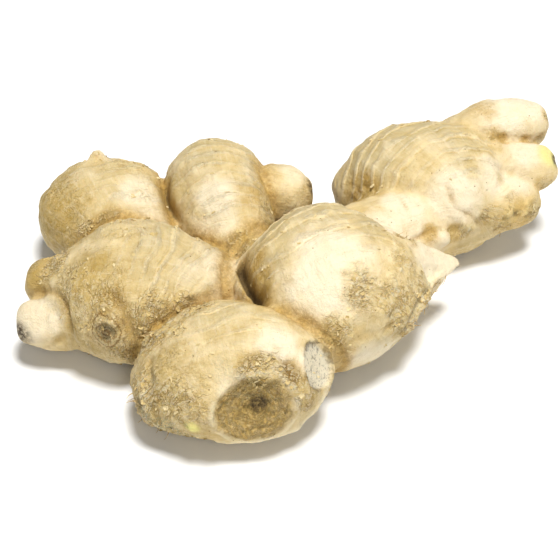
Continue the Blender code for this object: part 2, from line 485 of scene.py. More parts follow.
# %% Make the noise, step and blob tools
def lumps(size, seed):
    """Smooth noise from -1 to 1 over the skin, with lumps about `size` millimetres apart."""
    shift = Vector((17.3 * seed, 5.1 * seed, 9.7 * seed))
    return np.array([noise.noise(Vector(p) / size + shift) for p in points])


def step(low, high, value):
    """0 below low, 1 above high, and a soft step from one to the other."""
    t = np.clip((value - low) / (high - low), 0, 1)
    return t * t * (3 - 2 * t)


def bump_at(away, width):
    """1 where away is 0, falling off to either side like a bell."""
    return np.exp(-(away / width) ** 2)


wander = 0.6 * lumps(7.0, 3) + 0.4 * lumps(2.6, 4)


def blob(middle, radius, ragged):
    """1 inside a ball, fading to 0 at its ragged edge."""
    away = np.linalg.norm(points - np.array(middle), axis=1) / radius
    return 1 - step(0.45, 1.20, away + ragged * wander)


def paint(patches, ragged=0.35):
    """The strongest of the patches at each vertex. A patch is (x, y, z, radius, strength), in mm."""
    mask = np.zeros(len(points))
    for *middle, radius, strength in patches:
        mask = np.maximum(mask, strength * blob(middle, radius, ragged))
    return mask


print("noise from", wander.min().round(2), "to", wander.max().round(2))

# %% Work out the rings
RINGED = [  # where the rings still stand out; elsewhere they have worn away
    (-2, 0, 38, 26, 1), (-10, -20, 36, 18, 0.9), (30, 38, 36, 24, 1), (46, 50, 40, 20, 0.9),
    (20, 2, 42, 15, 1), (6, 10, 36, 20, 1), (8, -6, 47, 16, 1), (22, -10, 45, 12, 0.9),
    (58, 36, 38, 13, 1), (62, 46, 41, 12, 0.8), (-36, -12, 40, 26, 0.9), (-58, 5, 36, 18, 0.6),
    (-48, 28, 28, 18, 0.9), (-66, 36, 30, 16, 0.6), (-22, 36, 38, 20, 1), (-26, 18, 34, 14, 0.9),
    (-20, -46, 38, 17, 0.6), (-75, -25, 14, 12, 0.4), (30, 60, 20, 30, 0.8), (-20, 60, 20, 26, 0.8),
    (-70, 60, 16, 26, 0.7), (10, -50, 8, 26, 0.6), (-60, -20, 6, 30, 0.5), (24, -38, 12, 20, 0.7),
    (60, 20, 6, 26, 0.6), (30, 30, 10, 30, 0.6),
]
SEAMLESS = {  # lobes that run into their neighbour with no joint
    "left_pale_bud", "left_brown_bud", "neck_to_right", "middle_shoulder", "middle_torn_end",
    "middle_torn_shelf", "middle_torn_ridge", "middle_torn_lip", "front_stem_stump", "front_tiny_bud",
    "finger_back", "finger_mid", "finger_low", "back_left_stub",
}
phase = (growth + 2.2 * lumps(15.0, 1) + 1.2 * lumps(6.0, 2) + 0.35 * lumps(2.2, 13)) / spacing
phase += 0.5 * np.array([noise.noise(Vector((v / 9.0, 3.3, 1.7))) for v in growth])
turn_of_ring = phase - np.floor(phase)
seamless = np.isin(order[:2], [names.index(name) for name in SEAMLESS]).any(axis=0)
near_joint = (1 - step(0.8, 6.0, gap)) * np.where(seamless, 0.12, 1.0)
ring_fade = (0.45 + 0.55 * step(-0.5, 0.35, lumps(11.0, 5))) * (1 - 0.75 * near_joint)
ring_fade *= (0.15 + 0.85 * paint(RINGED)) * step(0.1, 1.6, gap)
ridge = bump_at(turn_of_ring - 0.80, 0.13)
slope = step(0.0, 0.85, turn_of_ring) - step(0.85, 1.0, turn_of_ring) - 0.45
ring_relief = ring_depth * ring_fade * (0.60 * slope + 0.80 * ridge)
print("rings stand up to", ring_relief.max().round(2), "mm proud")

# %% [markdown]
# ### Old skin, young skin, flaky skin
# The patches below were placed one by one, each with a middle, a radius and a strength. The same masks drive
# the carving here and the colours later, so a patch that looks flaky is also rough.

# %% Lay out the patches
# Weathered tan skin, and painted shade on the left flanks and the undersides:
OLD_SKIN_AND_SHADE = [  # weathered tan skin: x, y, z, radius, strength
    (-63, -26, 34, 17, 0.7), (-46, -38, 24, 15, 0.9), (-58, -27, 37, 12, 0.5), (-41, -62, 25, 17, 1),
    (-84, 40, 22, 12, 0.9), (-29, -71, 17, 14, 0.6), (2, -62, 22, 9, 0.8), (-79, 18, 25, 16, 1),
    (-83, 29, 27, 14, 1), (-80, 45, 20, 16, 0.6), (-72, -22, 30, 7, 0.9), (-70, -30, 24, 7, 0.7),
    (-42, 31, 26, 10, 0.8), (-82, -8, 26, 8, 1), (-3, -63, 31, 6, 0.9), (-12, -63, 33, 6, 0.6),
    (60, 30, 8, 14, 0.25), (-72, -10, 16, 14, 0.6), (-44, -66, 12, 12, 0.7), (-50, 60, 15, 20, 0.4),
    (52, 60, 12, 18, 0.4), (-30, -5, 2, 30, 0.5), (-72, 0, 30, 10, 0.6), (-15, -16, 36, 8, 0.7),
    (-13, -25, 36, 7, 0.9), (22, 28, 30, 9, 0.7), (14, -44, 26, 8, 0.2), (-66, -38, 16, 14, 0.7),
    (-8, 22, 28, 9, 0.6), (3, 36, 24, 7, 0.6), (77, 34, 14, 9, 0.3),
]
SMOOTH_TAN = [  # where the outer skin has rubbed off a smooth golden-brown one
    (-66, -22, 33, 10, 1), (-62, -27, 32, 8, 0.9), (-82, -9, 26, 9, 0.8), (-79, 20, 24, 9, 0.6),
    (26, 26, 28, 7, 0.6), (-11, -29, 35, 6, 0.6),
]
GOLD = [  # papery ochre skin down in the joints
    (-14, 20, 32, 8, 0.6), (-18, -1, 29, 7, 0.8), (-15, -21, 34, 11, 0.9), (-14, -31, 33, 9, 0.9),
    (22, 27, 29, 9, 0.9), (44, 10, 26, 4, 0.9), (53, 16, 20, 5, 0.9), (75, 28, 20, 8, 0.7),
    (65, 24, 22, 6, 0.8), (-31, -36, 33, 5, 0.9), (-42, -45, 27, 8, 0.8), (-62, 11, 29, 7, 0.8),
    (14, -44, 27, 8, 0.3), (34, -30, 27, 6, 0.8), (-13, -63, 33, 6, 0.7), (-2, -63, 30, 6, 0.8),
    (3, 36, 22, 6, 0.6), (-47, -59, 19, 6, 0.9), (35, -4, 33, 4, 0.8), (68, 50, 37, 4, 0.6),
    (66, 33, 31, 4, 0.7), (77, 40, 28, 4, 0.5), (-12, -30, 34, 6, 0.9), (71, 50, 36, 3, 0.9),
    (80, 51, 34, 3, 0.8), (89, 62, 36, 5, 0.8), (65, 58, 42, 6, 0.6), (84, 44, 26, 4, 0.7),
    (85, 38, 24, 5, 0.8), (88, 56, 32, 4, 0.7), (-14, -16, 30, 10, 0.3), (20, 44, 24, 12, 0.2),
    (-73, -26, 26, 3, 0.7), (74, 40, 29, 3, 0.9), (82, 43, 25, 3, 0.8), (-57, -31, 33, 5, 0.8),
    (-52, -37, 27, 5, 0.9), (-44, -36, 29, 7, 0.9),
]
FLAKY = [  # where the skin lifts in scales
    (-17, 1, 29, 7, 0.9), (12, -45, 30, 7, 0.8), (20, -33, 38, 8, 0.9), (28, -33, 33, 9, 0.9),
    (33, -31, 26, 9, 1), (37, -22, 27, 8, 0.9), (33, -18, 36, 7, 0.6), (39, -20, 23, 6, 1),
    (52, 15, 20, 4, 1), (57, 18, 20, 4, 0.9), (72, 26, 21, 7, 1), (78, 30, 21, 6, 1),
    (82, 34, 19, 4, 0.9), (88, 61, 37, 3, 0.7), (65, 23, 24, 4, 0.8), (-31, -36, 33, 7, 1),
    (-45, -43, 27, 10, 1), (-62, 11, 29, 6, 0.8), (-69, 10, 27, 5, 0.8), (-47, -59, 19, 8, 1),
    (-44, -62, 10, 8, 0.9), (-36, -66, 10, 7, 0.6), (-63, -30, 30, 12, 0.45), (-35, -30, 30, 5, 1),
    (-46, -34, 29, 8, 0.7), (-70, -20, 30, 8, 0.6), (-77, -8, 27, 8, 0.8), (-37, -66, 22, 12, 0.6),
    (-10, -64, 32, 7, 0.7), (1, -62, 24, 6, 0.8), (34, -3, 34, 4, 0.8), (-50, -38, 16, 10, 0.7),
    (-8, 18, 26, 8, 0.8), (-55, -2, 39, 12, 0.35), (-36, -46, 33, 5, 0.8), (-60, 42, 31, 10, 0.4),
    (-2, 36, 22, 6, 0.5), (68, 50, 37, 3, 0.6), (66, 33, 31, 3, 0.6),
]
# Young, smooth, cream-coloured skin, and painted highlight on the lit tops of the lobes:
PALE_AND_HIGHLIGHT = [  # young, smooth, cream-coloured skin
    (10, -32, 44, 18, 1), (14, -28, 44, 9, 0.8), (53, 21, 32, 12, 1), (72, 57, 42, 12, 1),
    (80, 62, 42, 11, 1), (78, 46, 34, 9, 1), (67, 31, 33, 9, 0.9), (74, 34, 28, 8, 0.9),
    (30, 3, 35, 10, 1), (36, 14, 34, 10, 1), (40, 8, 30, 8, 0.9), (-84, -25, 19, 10, 0.9),
    (-79, -27, 20, 6, 0.9), (-24, 8, 33, 7, 0.7), (38, -12, 30, 6, 0.6), (-6, -57, 36, 9, 1),
    (2, -58, 31, 6, 1), (-27, 17, 37, 9, 0.9), (42, -2, 26, 10, 1), (48, 0, 22, 6, 1),
    (26, -36, 14, 9, 0.8), (21, -43, 17, 8, 0.9), (48, 12, 23, 4, 1), (-2, 38, 28, 6, 0.7),
    (-45, 16, 32, 9, 0.8), (-52, 26, 32, 9, 0.8), (-32, 8, 31, 7, 0.7), (-22, -16, 33, 10, 0.7),
    (-64, 44, 36, 5, 1), (41, -5, 28, 10, 1), (46, -3, 23, 8, 1), (-30, -22, 40, 10, 0.5),
    (47, 7, 24, 6, 0.8), (39, 2, 28, 8, 1), (24, -40, 16, 8, 0.7),
]
old_skin_and_shade = paint(OLD_SKIN_AND_SHADE)
gold = np.maximum(paint(GOLD), 0.6 * (1 - step(0.3, 3.2, gap)) * ~seamless)
flaky = paint(FLAKY, 0.6)
pale_and_highlight = paint(PALE_AND_HIGHLIGHT) * (1 - 0.8 * gold)
for title, mask in (("old_skin_and_shade", old_skin_and_shade), ("gold", gold), ("flaky", flaky), ("pale_and_highlight", pale_and_highlight)):
    print(title, "covers", round(float(mask.mean()), 3), "of the skin")

# %% [markdown]
# ### Clefts, grooves and strokes
#
# Two lobes can meet in a cleft too deep for the remesh to keep, and a dry fold leaves a groove or a
# ridge. Both follow a line on the skin. A stroke is one touch of a sculpting brush: a soft round push.
# Sculpting with a mouse would give the same, but a list can be read, corrected and run again.

# %% Press in the clefts and grooves
CLEFTS = [  # stops in mm, half width, depth
    ([(-17, -15, 33), (-15, -21, 33), (-13, -28, 33), (-12, -34, 35)], 2, 8),
    ([(-44, 33, 28), (-43, 27, 27), (-41, 20, 25)], 2, 5),
]
GROOVES = [  # stops in mm, half width, push along the normal
    ([(62, 50, 39), (71, 50, 36), (77, 51, 34), (83, 52, 33), (88, 58, 31)], 1.6, -2),
    ([(58, 30, 35), (62, 32, 35), (72, 39, 30), (79, 41, 28), (84, 43, 23), (87, 45, 22)], 1.6, -2.2),
    ([(28, -6, 40), (34, -3, 34), (40, 6, 27), (44, 11, 26), (51, 15, 19)], 1.5, -1.2),
    ([(0, -43, 36), (4, -43, 34), (7, -47, 30)], 1, -1),
    ([(-57, -31, 34), (-54, -34, 31), (-51, -39, 24)], 2.2, -1.3),
    ([(-62, -35, 30), (-56, -33, 30)], 1.4, -0.6),
    ([(-41, -35, 30), (-35, -30, 31), (-31, -26, 31), (-28, -23, 31)], 2.2, 1.5),
    ([
        (-85, -14, 19), (-80, -17, 24), (-77, -20, 26), (-74.5, -24, 27), (-73, -27, 25.5),
        (-72, -30, 21), (-74, -31, 16), (-79, -28, 11),
    ], 1.6, -1.5),
    ([(44, 14, 31), (47, 13, 27), (50, 14, 22)], 0.9, -1),
    ([(50, 24, 35), (53, 19, 30), (58, 20, 26), (61, 21, 22)], 0.9, -0.9),
    ([(41, 8, 31), (38, 12, 33), (34, 19, 34)], 0.8, -0.6),
    ([(63, 27, 30), (68, 28, 25), (73, 30, 20)], 1, -0.9),
    ([(33, -7, 38), (41, -2, 31), (48, 1, 24), (52, 2, 21.5)], 1.6, 0.7),
    ([(-47, -56, 22), (-46, -60, 19), (-44, -64, 14), (-42, -65, 12)], 1.8, 1.2),
    ([(-45, -53, 27), (-43, -60, 22), (-38, -66, 14)], 1.6, -0.8),
    ([(-33, -53, 34), (-36, -60, 29), (-36, -66, 20)], 2, 0.6),
    ([(14, -43, 32), (20, -38, 34), (25, -36, 32), (30, -32, 32)], 1.6, 0.9),
    ([(18, -42, 26), (24, -38, 26), (29, -35, 26)], 1.6, -0.9),
]
CLEFT_WAY = np.array([0.0, 0.25, -0.97])  # the way that a cleft sinks


def near_line(stops):
    """How far each vertex is from a line, in mm."""
    line = line_through(stops, pieces=8)
    return np.sqrt(np.min([((points - p) ** 2).sum(1) for p in line], axis=0))


cleft_depth, cleft, groove_push = np.zeros(len(points)), np.zeros(len(points)), np.zeros(len(points))
for stops, half_width, depth in CLEFTS:
    away = near_line(stops) * (1 + 0.35 * wander)
    cleft_depth = np.maximum(cleft_depth, depth * bump_at(away, half_width))
    cleft = np.maximum(cleft, bump_at(away, half_width + 1.5))
for stops, half_width, push in GROOVES:
    away = near_line(stops) * (1 + 0.45 * wander)
    groove_push += push * bump_at(away, half_width)
    if push < 0:
        cleft = np.maximum(cleft, bump_at(away, half_width * 0.8))
print("deepest cleft", cleft_depth.max().round(1), "mm")

# %% Lay out the strokes, the torn edge and the papery lips
STROKES = [  # x, y, z, radius, push along the normal
    (-25, -64, 33, 8, -1), (-17, -57, 38, 8, 1.1), (-37, -60, 29, 7, 0.9), (-31, -52, 36, 6, -0.7),
    (3, -57, 29, 5, 0.8), (-48, -58, 18, 4, 1), (-46, -62, 10, 4, 0.8), (-43, -57, 24, 3, -0.9),
    (16, -41, 33, 7, -1), (24, -36, 32, 5, 0.9), (33, -31, 26, 4, 1.2), (37, -24, 24, 3, -1),
    (41, -17, 24, 3, 1.2), (34, -15, 37, 7, 0.8), (20, -20, 46, 9, 0.6), (44, -9, 21, 3, -1),
    (47, 11, 23, 3, 1), (53, 16, 21, 3, -0.8), (33, -5, 36, 5, -0.8), (51, 23, 36, 8, 0.7),
    (64, 38, 35, 6, 0.7), (71, 27, 20, 3, -1.1), (76, 32, 16, 3, 0.9), (66, 26, 14, 3, 0.8),
    (-45, -42, 26, 3, 1.2), (-52, -36, 28, 6, -0.7), (-67, -24, 33, 7, 0.7), (-72, -14, 30, 5, -0.8),
    (-21, -24, 33, 7, 1.4), (-60, 14, 31, 6, 0.7), (-53, 42, 28, 2.5, 0.9), (-61, 40, 32, 2, 0.7),
    (-30, 13, 31, 5, -0.7), (-16, 14, 33, 5, 0.7), (-80, 30, 24, 6, 0.6), (-40, 28, 29, 5, 0.5),
]
COLLAR = [  # the ruff of old leaf bases round the stem scar
    (-17, -66, 32), (-13, -63, 34), (-8, -61, 34), (-3, -62, 31), (0, -64, 26), (3, -64, 19),
]
TORN_EDGE = [(50, 0, 21), (45, -7, 22), (41, -16, 24), (38, -22, 23), (34, -30, 20)]
PAPER_LIPS = [  # thin pale edges of skin under the front, the middle and the left lobe
    [(8, -55, 20), (6, -59, 14), (1, -62, 10), (-5, -65, 8), (-14, -67, 7), (-24, -67, 7)],
    [(8, -45, 6), (16, -45, 7), (24, -41, 8), (31, -36, 11)],
    [(-55, -38, 10), (-48, -38, 7), (-42, -38, 6)],
]
stroke_push = np.zeros(len(points))
for *middle, radius, push in STROKES:
    away = np.linalg.norm(points - np.array(middle), axis=1) / radius
    stroke_push += push * bump_at(away * (1 + 0.25 * wander), 1)
torn = bump_at(near_line(TORN_EDGE), 2.6)
paper_lip = np.max([bump_at(near_line(stops) * (1 + 0.3 * wander), 1.3) for stops in PAPER_LIPS], axis=0)
collar = bump_at(near_line(COLLAR) * (1 + 0.3 * wander), 2.6)
print(len(STROKES), "strokes, up to", stroke_push.max().round(1), "mm")

# %% Carve
fine = lumps(1.9, 6)
mid_lumps = lumps(4.2, 12)
scales = np.abs(lumps(3.1, 7)) + 0.6 * np.abs(lumps(1.7, 8))
relief = ring_relief * (1 - 0.5 * pale_and_highlight)
relief += (0.75 * lumps(9.0, 9) + 0.42 * mid_lumps + 0.16 * fine) * (1 - 0.3 * pale_and_highlight)
relief -= 0.9 * bump_at(gap, 0.9) * near_joint
relief += 0.85 * flaky * (scales - 0.35)
relief += (0.30 * old_skin_and_shade + 0.25 * gold) * lumps(2.4, 10) + groove_push
relief += stroke_push + 1.0 * collar * (1 + 0.5 * fine) + 0.8 * paper_lip
relief += torn * step(-3, -9, points[:, 1]) * (1.5 * lumps(2.6, 30) + 0.9 * lumps(1.5, 31))
points = points + normals * relief[:, None] + cleft_depth[:, None] * CLEFT_WAY
print("relief from", relief.min().round(2), "to", relief.max().round(2), "mm")

# %% [markdown]
# ### Scars
#
# The stem broke off the front lobe and left a round dish, and a knife took a slice beside it. Both
# match the hollows of the measured solid: a flattened ball pushes the skin in along the way it faces.
# The small round scars are where roots were: a low rim, a moat and a plug.

# %% Press the scars in
# middle, the way it faces, radius, depth
STEM_SCAR = ((-7.2, -67.5, 22.5), (0.05, -0.97, 0.25), 12.5, 3.6)
SLICED_SCAR = ((10.8, -51, 27), (0.75, -0.35, 0.55), 7.5, 1.8)
ROOT_SCARS = [  # x, y, z, radius, height of the rim
    (-59.5, -36.5, 24, 3.6, 0.75), (-45, -43, 25, 2.2, 0.6), (-50, 52, 24, 2, 0.4),
    (63, 62, 24, 2.2, 0.4), (20, 6, 40, 1.2, 0.25),
]


def press_dish(middle, facing, radius, depth):
    """Pushes the skin inside a flattened ball back to its inner wall. Returns how far out each vertex is."""
    facing = np.array(facing) / np.linalg.norm(facing)
    away = points - (np.array(middle) + np.array(BOX_SHIFT))
    height = away @ facing
    out = np.linalg.norm(away - height[:, None] * facing, axis=1) / radius
    floor_of_dish = -depth * np.sqrt(np.clip(1 - out ** 2, 0, 1))
    facing_it = normals @ facing > 0
    inside = (out < 1) & (height > floor_of_dish) & (height < 3 * depth) & facing_it
    points[inside] += (floor_of_dish - height)[inside, None] * facing
    return np.where(facing_it & (np.abs(height) < 3 * depth + 2), out, 9.0)


def press_root_scar(x, y, z, radius, height):
    """A low rim round a moat with a plug in it."""
    out = np.linalg.norm(points - np.array((x, y, z)), axis=1) / radius * (1 + 0.3 * wander)
    shape = bump_at(out - 1, 0.22) - 0.9 * bump_at(out - 0.62, 0.2) + 0.5 * bump_at(out, 0.35)
    points[:] += normals * (height * shape)[:, None]
    return out


stem_out = press_dish(*STEM_SCAR) * (1 + 0.10 * wander)
slice_out = press_dish(*SLICED_SCAR)
in_stem = 1 - step(0.80, 1.02, stem_out + 0.16 * wander)
in_slice = 1 - step(0.86, 1.0, slice_out + 0.08 * wander)
rim = bump_at(stem_out - 1.03, 0.07)
swirl = 1 - 2 * np.abs(np.sin(stem_out * 8 + 2.5 * wander + 0.8 * fine))
in_dish = 0.45 * swirl + 0.40 * fine - 0.9 * bump_at(stem_out, 0.25)
points += normals * (in_stem * in_dish + 0.5 * rim * step(-0.5, 0.3, wander))[:, None]
points += normals * (in_slice * 0.18 * fine + 0.35 * bump_at(slice_out - 1.02, 0.1))[:, None]
root_scar_out = np.min([press_root_scar(*scar) for scar in ROOT_SCARS], axis=0)
points[:, 2] = np.maximum(points[:, 2], 0)
root.data.vertices.foreach_set("co", (points * MM).astype(np.float32).ravel())
root.data.update()
print("stem scar:", int((stem_out < 1).sum()), "vertices; slice:", int((slice_out < 1).sum()))

# %% [markdown]
# ### Masks for the colours
#
# A mask is a number from 0 to 1 on every vertex, kept on the mesh as an attribute, which is what a
# material can read. Painting them with a brush would do too, but then they wouldn't fit the carving.

# %% Hand the masks over to the mesh
DARK = [  # mould-black tips, pits and the heart of the stem scar
    (-87, -25, 14, 4.5, 1), (4, 36, 25, 3.2, 0.8), (-12, -66, 22, 3.4, 0.8), (90, 45.5, 30.5, 2.8, 1),
    (79, 30, 20, 1.8, 0.6), (74, 27, 22, 2, 0.6), (70, 25, 22, 1.6, 0.6), (34, -24, 31, 1.6, 0.4),
    (36, -19, 33, 1.4, 0.4), (-35, -71.5, 13, 1.6, 0.5), (-33, -29, 31, 1.8, 0.5),
    (-44, -62, 14, 2.6, 0.5), (-52, 42, 29, 2, 0.8), (-56, 43, 30, 1.5, 0.7), (22, -33, 37, 2, 0.5),
    (-46, -60, 17, 3, 0.7), (-59.5, -36.5, 24, 2.6, 0.55), (-72, 36, 31, 1.4, 0.6),
]
MOULD = [  # green-grey mould
    (-22, -63, 33, 5, 0.22), (-40, -66, 11, 7, 0.8), (-33, -70, 9, 5, 0.7), (-46, -62, 14, 4, 0.5),
    (88, 40, 20, 5, 0.4),
]
GREEN = [  # yellow-green tips of the young buds
    (87, 45.5, 32.5, 5.2, 1), (-32, -71.5, 15.8, 3.2, 1.2), (70, 31, 27, 3.5, 0.3),
]
masks = {
    "ring": phase, "ring_strength": np.clip(ring_depth / 0.34, 0, 1) * ring_fade,
    "joint": np.maximum(near_joint, cleft), "seam": 1 - step(0.2, 1.6, gap),
    # painted shade: the bottom of the deepest clefts, laid on near-black further down
    "cleft_shade": step(1.5, 6.0, cleft_depth),
    "old_skin_and_shade": old_skin_and_shade, "smooth_tan": paint(SMOOTH_TAN), "gold": gold, "flaky": flaky, "pale_and_highlight": pale_and_highlight,
    "tone": np.clip(0.5 + 0.9 * mid_lumps, 0, 1), "dark": paint(DARK, 0.4), "mould": paint(MOULD, 0.8),
    "green": paint(GREEN, 0.12), "collar": collar, "torn": torn, "paper_lip": paper_lip,
    "stem_scar": in_stem, "stem_rim": rim, "scar_out": np.clip(stem_out, 0, 1.4), "slice": in_slice,
    "slice_rim": bump_at(slice_out - 0.98, 0.09), "root_scar_out": np.clip(root_scar_out, 0, 2.5),
}
for name, values in masks.items():
    kept = root.data.attributes.new(name, "FLOAT", "POINT")
    kept.data.foreach_set("value", np.ascontiguousarray(values, np.float32))
# The grain runs along the growth line, so that a pattern on it stretches the way the lobe grew.
along_and_round = np.column_stack([growth, 20 * outward[:, 0], 20 * outward[:, 1] + 20 * outward[:, 2]])
kept = root.data.attributes.new("grain", "FLOAT_VECTOR", "POINT")
kept.data.foreach_set("vector", np.ascontiguousarray(along_and_round, np.float32).ravel())
for polygon in root.data.polygons:
    polygon.use_smooth = True
print("attributes:", [a.name for a in root.data.attributes])

# %% [markdown]
# ## Shader maths
#
# Node trees are hard to read as text. The little class below wraps a socket, so that `1 - mask * 2`
# written in Python adds the Math nodes for it. Colours never go through a Math node, which would turn
# them grey: they are blended with Mix nodes.

# %% Wrap a shader socket
class Wire:
    """One output of a node in a material, with the sums that can be done on it."""

    def __init__(self, tree, socket):
        self.tree = tree
        self.socket = socket

    def node(self, kind, settings=None, **values):
        """Adds a node, sets it up, fills its sockets, and returns its first output."""
        made = self.tree.nodes.new(kind)
        for key, value in (settings or {}).items():
            setattr(made, key, value)
        for key, value in values.items():
            socket = made.inputs[int(key[1:])] if key[0] == "_" else made.inputs[key.replace("_", " ")]
            if isinstance(value, Wire):
                self.tree.links.new(value.socket, socket)
            else:
                socket.default_value = value
        return Wire(self.tree, next(s for s in made.outputs if s.enabled))

    def out(self, name):
        """Another output of the same node."""
        return Wire(self.tree, self.socket.node.outputs[name])

    def maths(self, operation, first, second=0.0):
        return self.node("ShaderNodeMath", {"operation": operation}, _0=first, _1=second)

    def __add__(self, other):
        return self.maths("ADD", self, other)

    def __sub__(self, other):
        return self.maths("SUBTRACT", self, other)

    def __rsub__(self, other):
        return self.maths("SUBTRACT", other, self)

    def __mul__(self, other):
        return self.maths("MULTIPLY", self, other)

    __radd__ = __add__
    __rmul__ = __mul__

    def clamp(self):
        return self.maths("MINIMUM", self.maths("MAXIMUM", self, 0.0), 1.0)

    def between(self, low, high):
        """0 below low, 1 above high, and a soft step from one to the other."""
        return self.node("ShaderNodeMapRange", {"interpolation_type": "SMOOTHSTEP"},
                         Value=self, From_Min=low, From_Max=high)

    def fraction(self):
        return self.maths("FRACT", self)

    def times(self, x, y, z):
        """A vector, each coordinate multiplied by its own number."""
        return self.node("ShaderNodeVectorMath", {"operation": "MULTIPLY"}, _0=self, _1=(x, y, z))

    def blend(self, share, first, second):
        """A share of the second colour in the first."""
        return self.node("ShaderNodeMix", {"data_type": "RGBA"}, _0=share, _6=first, _7=second).out(2)


print("Wire is ready")


# %% Make the tools that read masks, make noise and dress a piece
def new_material(name):
    """A material, and a Wire that adds nodes to it."""
    material = bpy.data.materials.new(name)
    material.use_nodes = True
    return material, Wire(material.node_tree, None)


def colour(red, green, blue):
    return (red, green, blue, 1.0)


def mask_of(tool, name):
    return tool.node("ShaderNodeAttribute", {"attribute_name": name}).out("Fac")


def cloud(tool, vector, per_mm, detail=3.0, rough=0.55, distort=0.0):
    """Noise from 0 to 1, with so many lumps to the millimetre."""
    return tool.node("ShaderNodeTexNoise", None, Vector=vector, Scale=per_mm, Detail=detail,
                     Roughness=rough, Distortion=distort)


def place_in_mm(tool):
    return tool.node("ShaderNodeTexCoord").out("Object").times(1000, 1000, 1000)


def lay(ground, layers):
    """Lays each layer, a colour and its share, over the ones below."""
    for tint, share in layers:
        ground = ground.blend(share, ground, tint)
    return ground


def dress(piece, material, base, roughness, relief=None):
    """Plugs a colour, a roughness and a relief in mm into a material, and puts it on a piece."""
    shader = material.node_tree.nodes["Principled BSDF"]
    ends = {"Base Color": base, "Roughness": roughness}
    if relief:
        ends["Normal"] = base.node("ShaderNodeBump", None, Strength=1.0, Distance=MM, Height=relief)
    for socket, wire in ends.items():
        material.node_tree.links.new(wire.socket, shader.inputs[socket])
    piece.data.materials.clear()
    piece.data.materials.append(material)
    return shader


print("material tools are ready")

# %% [markdown]
# ## The skin's finish
#
# Ginger skin is a thin, dry film over pale flesh. Its colour has four layers: a mottled cream to tan ground,
# weathering, the ochre of the joints, and fine drawing on top (ring edges, fibres and specks). Among them
# lie painted shade and painted highlight: on the flanks and undersides, under the rings, in the clefts and
# on the lit tops.
# The masks say where; noise at a tenth of a millimetre to a few millimetres says how it looks close up.

# %% Name the skin's colours
CREAM = colour(0.88, 0.715, 0.41)
TAN = colour(0.70, 0.53, 0.245)
GREY_BEIGE = colour(0.57, 0.465, 0.25)
WEATHERED_AND_SHADE = colour(0.45, 0.300, 0.072)
OCHRE = colour(0.56, 0.347, 0.080)
GOLDEN = colour(0.90, 0.675, 0.285)
CRACK_BROWN = colour(0.30, 0.165, 0.045)
RUST = colour(0.27, 0.150, 0.036)
YOUNG_AND_HIGHLIGHT = colour(0.935, 0.835, 0.635)
PAPER_EDGE = colour(0.98, 0.87, 0.61)
SMOOTH_BROWN = colour(0.47, 0.310, 0.072)
UMBER = colour(0.075, 0.048, 0.022)
SCAR_BROWN = colour(0.49, 0.325, 0.090)
SLICE_GREY = colour(0.78, 0.71, 0.54)
MOULD_GREEN = colour(0.27, 0.31, 0.22)
BUD_YELLOW = colour(0.84, 0.75, 0.27)
print("16 colours")

# %% Read the masks and make the noise
skin, w = new_material("ginger_skin")
spot = place_in_mm(w)
grain = mask_of(w, "grain").out("Vector")
off_seam = 1 - mask_of(w, "seam")
ring_strength, torn_mask, collar_mask = [mask_of(w, name) for name in ("ring_strength", "torn", "collar")]
old_skin_and_shade_mask, gold_mask, flaky_mask = [mask_of(w, name) for name in ("old_skin_and_shade", "gold", "flaky")]
pale_and_highlight_mask, joint_mask = [mask_of(w, name) for name in ("pale_and_highlight", "joint")]
stem_mask, slice_mask = [mask_of(w, name) for name in ("stem_scar", "slice")]
broad = cloud(w, spot, 0.07, 2.0)
patchy = cloud(w, spot, 0.22, 4.0, 0.6)
mottle = cloud(w, spot, 0.65, 5.0, 0.7)
grit = cloud(w, spot, 1.5, 5.0, 0.75)
fibre = (cloud(w, grain.times(0.12, 0.9, 0.9), 1.0, 4.0, 0.65, 0.4) - 0.5) * off_seam + 0.5
clump = (cloud(w, grain.times(0.9, 0.45, 0.45), 1.0, 6.0, 0.75, 1.2) - 0.5) * off_seam + 0.5
print("noise and masks:", len(skin.node_tree.nodes), "nodes")

# %% Draw the cracks of the flaky skin
warp = w.node("ShaderNodeTexNoise", None, Vector=spot, Scale=0.45, Detail=3.0).out("Color")
warped = w.node("ShaderNodeVectorMath", {"operation": "MULTIPLY_ADD"},
                _0=warp, _1=(6.0, 4.0, 4.0), _2=grain.times(1.25, 0.50, 0.50))
crack = w.node("ShaderNodeTexVoronoi", {"feature": "DISTANCE_TO_EDGE"},
               Vector=warped, Scale=0.42, Randomness=1.0)
crack_place = patchy.between(0.34, 0.50) * mottle.between(0.36, 0.54) * off_seam
crack_line = (1 - crack.between(0.01, 0.10)) * crack_place
curl = crack.between(0.08, 0.18) * (1 - crack.between(0.22, 0.40)) * crack_place
line_place = (flaky_mask * 1.0 + gold_mask * 0.12 + old_skin_and_shade_mask * 0.30 + collar_mask * 0.8).clamp()
print("cracks:", len(skin.node_tree.nodes), "nodes")

# %% Draw the rings
ring = mask_of(w, "ring") + (mottle - 0.5) * 0.22 + (grit - 0.5) * 0.10
turn_part = ring.fraction()
fringe = turn_part.between(0.55, 0.80) * (1 - turn_part.between(0.84, 0.97))
fringe = fringe * ring_strength * patchy.between(0.32, 0.52) * (0.5 + grit.between(0.35, 0.55) * 0.5)
# A thin painted shadow just under each ring's fringe, where the skin steps down to the next ring.
under_fringe_shadow = turn_part.between(0.92, 0.97) + (1 - turn_part.between(0.0, 0.10))
under_fringe_shadow = under_fringe_shadow.clamp() * ring_strength * patchy.between(0.40, 0.60)
thirds = ((ring * 3.0).fraction() - 0.5) * 2.0
hair_line = (1 - (thirds * thirds).between(0.0, 0.14)) * ring_strength * mottle.between(0.42, 0.60)
band = cloud(w, w.node("ShaderNodeCombineXYZ", None, X=ring * 0.5, Y=broad * 3.0), 1.0, 2.0)
print("rings:", len(skin.node_tree.nodes), "nodes")
